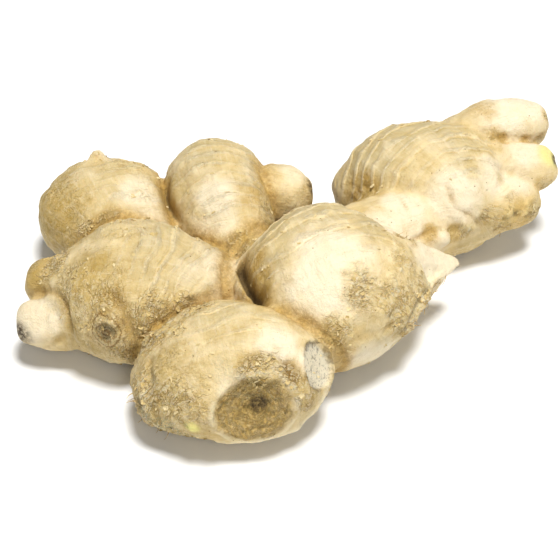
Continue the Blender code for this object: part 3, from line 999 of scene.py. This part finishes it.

# %% Lay the ground with its painted shade and highlight, the weathering and the ochre of the joints
base = lay(w.blend(patchy.between(0.30, 0.70), CREAM, TAN), [
    (GREY_BEIGE, band.between(0.44, 0.56) * ring_strength * 0.85),
    # painted shade: each band between two rings is darkest just past its step and lightens towards the next
    # fringe
    (GREY_BEIGE, (1 - turn_part) * ring_strength * 0.80),
    (YOUNG_AND_HIGHLIGHT, broad.between(0.48, 0.68) * 0.25),
    # weathered brown, and painted shade on the left flanks and the undersides
    (WEATHERED_AND_SHADE, (old_skin_and_shade_mask * (0.30 + mottle.between(0.30, 0.62) * 0.65 - fibre * 0.2)).clamp()),
    # young cream skin on the buds and fingers, and painted highlight on the lit tops
    (YOUNG_AND_HIGHLIGHT, (pale_and_highlight_mask * (0.50 + mottle * 0.6)).clamp()),
    (WEATHERED_AND_SHADE, (1 - mask_of(w, "tone")) * (1 - pale_and_highlight_mask * 0.7) * 0.22),
    (OCHRE, (gold_mask * (0.20 + patchy.between(0.34, 0.60) * 0.75)).clamp() * 0.85),
    (RUST, (gold_mask * grit.between(0.50, 0.60) * mottle.between(0.46, 0.56)).clamp() * 0.80),
    (RUST, collar_mask * clump.between(0.35, 0.55) * 0.75),
    (SMOOTH_BROWN, mask_of(w, "smooth_tan") * 0.90),
])
print("ground:", len(skin.node_tree.nodes), "nodes")

# %% Lay the fine drawing and the flaky patches
base = lay(base, [
    (PAPER_EDGE, fringe * 0.50),
    # painted shadow: a thin dark line just under each fringe
    (WEATHERED_AND_SHADE, under_fringe_shadow * 0.40),
    (WEATHERED_AND_SHADE, hair_line * 0.30),
    (YOUNG_AND_HIGHLIGHT, fibre.between(0.54, 0.64) * 0.16),
    (WEATHERED_AND_SHADE, (1 - fibre.between(0.34, 0.44)) * 0.16),
    (GOLDEN, flaky_mask * 0.80),
    (OCHRE, flaky_mask * patchy.between(0.40, 0.60) * 0.40),
    (PAPER_EDGE, clump.between(0.52, 0.58) * flaky_mask * 0.75),
    (WEATHERED_AND_SHADE, (1 - clump.between(0.32, 0.46)) * flaky_mask * 0.26),
    (RUST, (1 - clump.between(0.34, 0.38)) * flaky_mask * 0.50),
    (RUST, grit.between(0.62, 0.66) * flaky_mask * 0.40),
    (PAPER_EDGE, (torn_mask * grit.between(0.40, 0.52) * 0.6 + mask_of(w, "paper_lip") * 0.8).clamp()),
    (PAPER_EDGE, curl * line_place * 0.45),
    (CRACK_BROWN, crack_line * line_place * 0.44),
    (OCHRE, joint_mask * 0.45),
    (RUST, joint_mask * (1 - mottle.between(0.42, 0.58)) * 0.45),
])
print("drawing:", len(skin.node_tree.nodes), "nodes")

# %% Add the specks
speck = w.node("ShaderNodeTexVoronoi", None, Vector=spot, Scale=0.42, Randomness=1.0)
speck_pick = w.node("ShaderNodeSeparateXYZ", None, Vector=speck.out("Color"))
specks = (1 - speck.between(0.05, 0.12)) * speck_pick.between(0.76, 0.80)
fine_speck = w.node("ShaderNodeTexVoronoi", None, Vector=spot, Scale=1.25, Randomness=1.0)
fine_specks = (1 - fine_speck.between(0.10, 0.26)) * cloud(w, spot, 0.22, 2.0).between(0.48, 0.60)
base = lay(base, [
    (RUST, (specks * 0.9).clamp()),
    (WEATHERED_AND_SHADE, (fine_specks * (0.45 + old_skin_and_shade_mask * 0.5 + flaky_mask * 0.5)).clamp()),
])
print("specks:", len(skin.node_tree.nodes), "nodes")

# %% Add the stem scar and the root scars
scar_tone = cloud(w, spot, 0.55, 5.0, 0.7)
scar_out = mask_of(w, "scar_out") + (mottle - 0.5) * 0.5 + (grit - 0.5) * 0.25
scar_turns = ((scar_out + (patchy - 0.5) * 0.55 + (mottle - 0.5) * 0.20) * 4.6).fraction()
scar_line = scar_turns.between(0.45, 0.80) * (1 - scar_turns.between(0.85, 1.0))
scar_fold = 1 - scar_turns.between(0.0, 0.20) + scar_turns.between(0.94, 1.0)
scar_pale = scar_line * 0.55 + scar_tone.between(0.46, 0.62) * 0.45
root_out = mask_of(w, "root_scar_out")
root_turns = (root_out * 1.9 + (mottle - 0.5) * 1.6 + (grit - 0.5) * 0.8).fraction()
root_line = root_turns.between(0.30, 0.55) * (1 - root_turns.between(0.6, 0.9))
root_line = root_line * (1 - root_out.between(1.5, 2.2))
base = lay(base, [
    (SCAR_BROWN, stem_mask * 0.92),
    (RUST, stem_mask * scar_tone.between(0.44, 0.60) * scar_out.between(0.2, 0.9) * 0.45),
    (TAN, stem_mask * scar_pale * scar_out.between(0.15, 0.6)),
    (RUST, stem_mask * scar_fold.clamp() * mottle.between(0.36, 0.54) * 0.7),
    (RUST, stem_mask * crack_line * 0.5),
    (CREAM, stem_mask * curl * 0.25),
    (UMBER, stem_mask * (1 - scar_out.between(0.05, 0.30)) * grit.between(0.46, 0.56) * 0.55),
    (GREY_BEIGE, (1 - root_out.between(0.9, 1.3)) * 0.45),
    (RUST, root_line * 0.80 + (1 - root_out.between(0.1, 0.5)) * 0.4),
    (PAPER_EDGE, mask_of(w, "stem_rim") * 0.55 * patchy.between(0.30, 0.55)),
])
print("scars:", len(skin.node_tree.nodes), "nodes")

# %% Add the slice, the mould, the bud tips and the painted shade in the deep clefts
slice_streaks = cloud(w, spot.times(2.2, 1.2, 0.35), 1.0, 4.0, 0.65, 0.5)
base = lay(base, [
    (SLICE_GREY, slice_mask * 0.92),
    (UMBER, slice_mask * (1 - slice_streaks.between(0.36, 0.48)) * 0.60),
    (UMBER, mask_of(w, "slice_rim") * patchy.between(0.40, 0.60) * 0.65),
    (MOULD_GREEN, mask_of(w, "mould") * grit.between(0.46, 0.58) * 0.9),
    (BUD_YELLOW, mask_of(w, "green") * mottle.between(0.20, 0.45) * 0.85),
    (UMBER, (mask_of(w, "dark") * mottle.between(0.25, 0.60) * 1.1).clamp()),
    # painted shade: near-black at the bottom of the deepest clefts
    (UMBER, mask_of(w, "cleft_shade") * 0.80),
])
print("marks:", len(skin.node_tree.nodes), "nodes")

# %% Add the fine relief and the gloss
height = fibre * 0.10 + mottle * 0.60 + grit * 0.30 + fringe * 0.30 - under_fringe_shadow * 0.12
height = height + flaky_mask * (clump * 1.1 + grit * 0.3) + old_skin_and_shade_mask * mottle * 0.2
height = height - specks * 0.2 - hair_line * 0.12 - crack_line * line_place * 0.45 + curl * line_place * 0.25
height = height + stem_mask * (scar_tone * 0.5 + scar_line * 0.4) + slice_mask * grit * 0.3
height = height + gold_mask * grit * 0.2
roughness = 0.52 + old_skin_and_shade_mask * 0.14 + gold_mask * 0.12 + (grit - 0.5) * 0.12 - pale_and_highlight_mask * 0.08
skin_shader = dress(root, skin, base, roughness.clamp(), height)
skin_shader.inputs["Specular IOR Level"].default_value = 0.20
skin_shader.inputs["Subsurface Weight"].default_value = 0.08
skin_shader.inputs["Subsurface Radius"].default_value = (1.0, 0.55, 0.25)
skin_shader.inputs["Subsurface Scale"].default_value = 2.0 * MM
print("skin material:", len(skin.node_tree.nodes), "nodes")

# %% [markdown]
# ## Loose flakes
#
# Where a scale leaf has rotted off, its edge stays on as a papery fringe, and in the joints the skin peels
# in crumbs. A particle system could scatter them, but it would lean on settings that an export drops. So
# three flakes are modelled and set down one by one, each a closed little shell with its own size and turn.

# %% Model three flakes
FLAKE_THICKNESS = 0.12 * MM


def add_flake(name, across, along, lift, droop):
    """A thin plate a millimetre wide, its far edge lifted and drawn in, its sides bent, then thickened."""
    bpy.ops.object.select_all(action="DESELECT")
    bpy.ops.mesh.primitive_grid_add(x_subdivisions=across, y_subdivisions=along, size=MM, location=(0, 0, 0))
    flake = bpy.context.object
    flake.name = name
    bpy.ops.object.mode_set(mode="EDIT")
    pick(flake, [v.index for v in flake.data.vertices if v.co.y > 0.3 * MM])
    bpy.ops.transform.translate(value=(0, 0, lift * MM))
    bpy.ops.transform.resize(value=(0.62, 1, 1), center_override=(0, 0, 0))
    pick(flake, [v.index for v in flake.data.vertices if abs(v.co.x) > 0.4 * MM])
    bpy.ops.transform.translate(value=(0, 0, droop * MM))
    bpy.ops.object.mode_set(mode="OBJECT")
    thick = flake.modifiers.new("thick", "SOLIDIFY")
    thick.thickness = FLAKE_THICKNESS
    bpy.ops.object.modifier_apply(modifier="thick")
    return flake


fringe_flake = add_flake("fringe_flake", 4, 1, 0.30, -0.12)
crumb_flakes = [add_flake("scale_flake", 2, 2, 0.45, 0.22), add_flake("crumb_flake", 2, 2, 0.25, -0.30)]
print([len(flake.data.polygons) for flake in (fringe_flake, *crumb_flakes)], "faces in each flake")

# %% Choose where they sit
FRINGES, CRUMBS = 300, 700
dice = np.random.default_rng(11)
points, normals = read_skin(root.data)
on_top = points[:, 2] > 2.0
at_fringe = (turn_of_ring > 0.80) & (turn_of_ring < 0.95)
fringe_chance = ring_fade * (ring_depth > 0.2) * at_fringe * on_top
fringe_chance = fringe_chance * (1 - 0.8 * pale_and_highlight) * (1 - in_stem) * step(-0.1, 0.3, lumps(6.0, 20))
crumb_chance = (flaky ** 1.5 + 0.8 * collar + 0.04 * old_skin_and_shade) * on_top
crumb_chance = crumb_chance * (1 - in_slice) * step(-0.2, 0.3, lumps(3.5, 21))


def choose(chance, how_many):
    return dice.choice(len(points), how_many, replace=False, p=chance / chance.sum())


fringes = choose(fringe_chance, FRINGES)
crumbs = choose(crumb_chance, CRUMBS)
print(len(fringes), "fringe flakes and", len(crumbs), "crumbs")


# %% Set them down
def copy_to(model, place, axes):
    """A copy of the model with a mesh of its own, at a place in mm, its three axes laid along these."""
    copy = model.copy()
    copy.data = model.data.copy()
    copy.data.transform(Matrix.Translation(Vector(place) * MM) @ Matrix(axes).transposed().to_4x4())
    bpy.context.scene.collection.objects.link(copy)
    return copy


def set_down(model, at, along, size, tone):
    """A flake on the skin at a vertex, its far edge pointing along."""
    up = (Vector(normals[at]) + 0.25 * Vector(dice.normal(size=3))).normalized()
    ahead = Vector(along)
    ahead = (ahead - ahead.dot(up) * up).normalized()
    axes = (ahead.cross(up) * size[0], ahead * size[1], up * size[2])
    flake = copy_to(model, points[at] + 0.02 * normals[at], axes)
    shade = flake.data.attributes.new("tone", "FLOAT", "POINT")
    shade.data.foreach_set("value", [tone] * len(flake.data.vertices))
    return flake


flakes = []
for at in fringes:
    wide, long = dice.uniform(0.9, 2.4), dice.uniform(0.4, 0.9)
    along = growth_way[at] + 0.25 * dice.normal(size=3)
    thick, tone = dice.uniform(0.4, 0.8), dice.uniform(0, 0.6)
    flakes.append(set_down(fringe_flake, at, along, (wide, long, thick), tone))
for at in crumbs:
    wide, long = 0.6 + 1.3 * dice.uniform() ** 2, 0.5 + 1.0 * dice.uniform() ** 2
    tone = dice.uniform(0.15, 1)
    model, along = crumb_flakes[int(dice.integers(2))], dice.normal(size=3)
    flakes.append(set_down(model, at, along, (wide, long, dice.uniform(0.3, 0.7)), tone))
for model in (fringe_flake, *crumb_flakes):
    bpy.data.objects.remove(model)
flake_piece = join_all(flakes, "skin_flakes")
print("flakes:", len(flake_piece.data.polygons), "faces")

# %% [markdown]
# ## Root hairs
#
# A few dry rootlets are left at the root scars and the torn edge. A curve with a bevel would do, but a short
# tube pulled out tapers and bends in one go.

# %% Model one hair
HAIR_SIDES, HAIR_RADIUS, HAIR_TAPER = 5, 0.12 * MM, 0.80
HAIR_RISE, HAIR_BENDS = 0.25 * MM, (0.05, 0.12, 0.22, 0.30)
bpy.ops.object.select_all(action="DESELECT")
bpy.ops.mesh.primitive_circle_add(vertices=HAIR_SIDES, radius=HAIR_RADIUS, fill_type="NGON",
                                  location=(0, 0, 0))
hair_model = bpy.context.object
bpy.ops.object.mode_set(mode="EDIT")
for bend in HAIR_BENDS:
    bpy.ops.mesh.extrude_region_move(TRANSFORM_OT_translate={"value": (bend * MM, 0, HAIR_RISE)})
    bpy.ops.transform.resize(value=(HAIR_TAPER, HAIR_TAPER, HAIR_TAPER))
bpy.ops.mesh.select_all(action="SELECT")
bpy.ops.mesh.normals_make_consistent(inside=False)
bpy.ops.object.mode_set(mode="OBJECT")
print("hair:", len(hair_model.data.polygons), "faces")

# %% Set down the hairs
HAIR_SPOTS = [  # x, y, z, how far they spread, how many, length in mm
    (-48, -58, 16, 3, 4, 2.4), (-45, -43, 26, 2, 6, 2.2), (41, -16, 23, 3, 5, 2.4),
    (45, -6, 20, 2.5, 5, 2.6), (73, 28, 18, 3, 6, 2), (33, -5, 36, 3, 5, 1.8),
    (-59, -37, 24, 2.5, 5, 1.6), (34, -28, 22, 3, 5, 2), (53, 16, 21, 3, 5, 2), (-31, -36, 34, 3, 5, 1.8),
    (-44, -60, 9, 3, 5, 2),
]
hairs = []
for *middle, spread, how_many, length in HAIR_SPOTS:
    near = np.exp(-((points - np.array(middle)) ** 2).sum(1) / spread ** 2)
    for at in choose(near, how_many):
        up = (Vector(normals[at]) + 0.5 * Vector(dice.normal(size=3))).normalized()
        side = up.orthogonal().normalized()
        long = length * dice.uniform(0.6, 1.2)
        axes = (side * long, up.cross(side), up * long)
        hairs.append(copy_to(hair_model, points[at] - 0.2 * normals[at], axes))
bpy.data.objects.remove(hair_model)
hair_piece = join_all(hairs, "root_hairs")
print(len(hairs), "hairs,", len(hair_piece.data.polygons), "faces")

# %% [markdown]
# ### The flakes' and hairs' finish
#
# Old skin dries pale where it is thin and brown where it is thick, so a flake's shade is picked flake by
# flake. A single colour would make them look like sawdust.

# %% Finish the flakes and the hairs
FLAKE_LIGHT = colour(0.80, 0.66, 0.37)
FLAKE_TAN = colour(0.60, 0.45, 0.19)
paper, w = new_material("papery_flakes")
fleck = cloud(w, place_in_mm(w), 1.6, 4.0, 0.7)
tone = mask_of(w, "tone")
shade = w.blend(tone.between(0.0, 0.7), FLAKE_LIGHT, FLAKE_TAN)
shade = lay(shade, [(WEATHERED_AND_SHADE, fleck.between(0.48, 0.66) * (0.25 + tone * 0.6))])
dress(flake_piece, paper, shade, 0.55 + fleck * 0.2, fleck * 0.25)

rootlet, w = new_material("dry_rootlets")
streaks = cloud(w, place_in_mm(w), 2.0, 3.0)
dress(hair_piece, rootlet, w.blend(streaks.between(0.35, 0.65), RUST, TAN), 0.6 + streaks * 0.2)
print("two more materials")

# %% [markdown]
# ## Hand the piece over
#
# The carved skin stands for the measured solid, which stays only for weight and collision. The flakes
# and hairs ride with it.

# %% Ride, replace and finish
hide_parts("ginger_root")
for piece in (root, flake_piece, hair_piece):
    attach(piece, "root")
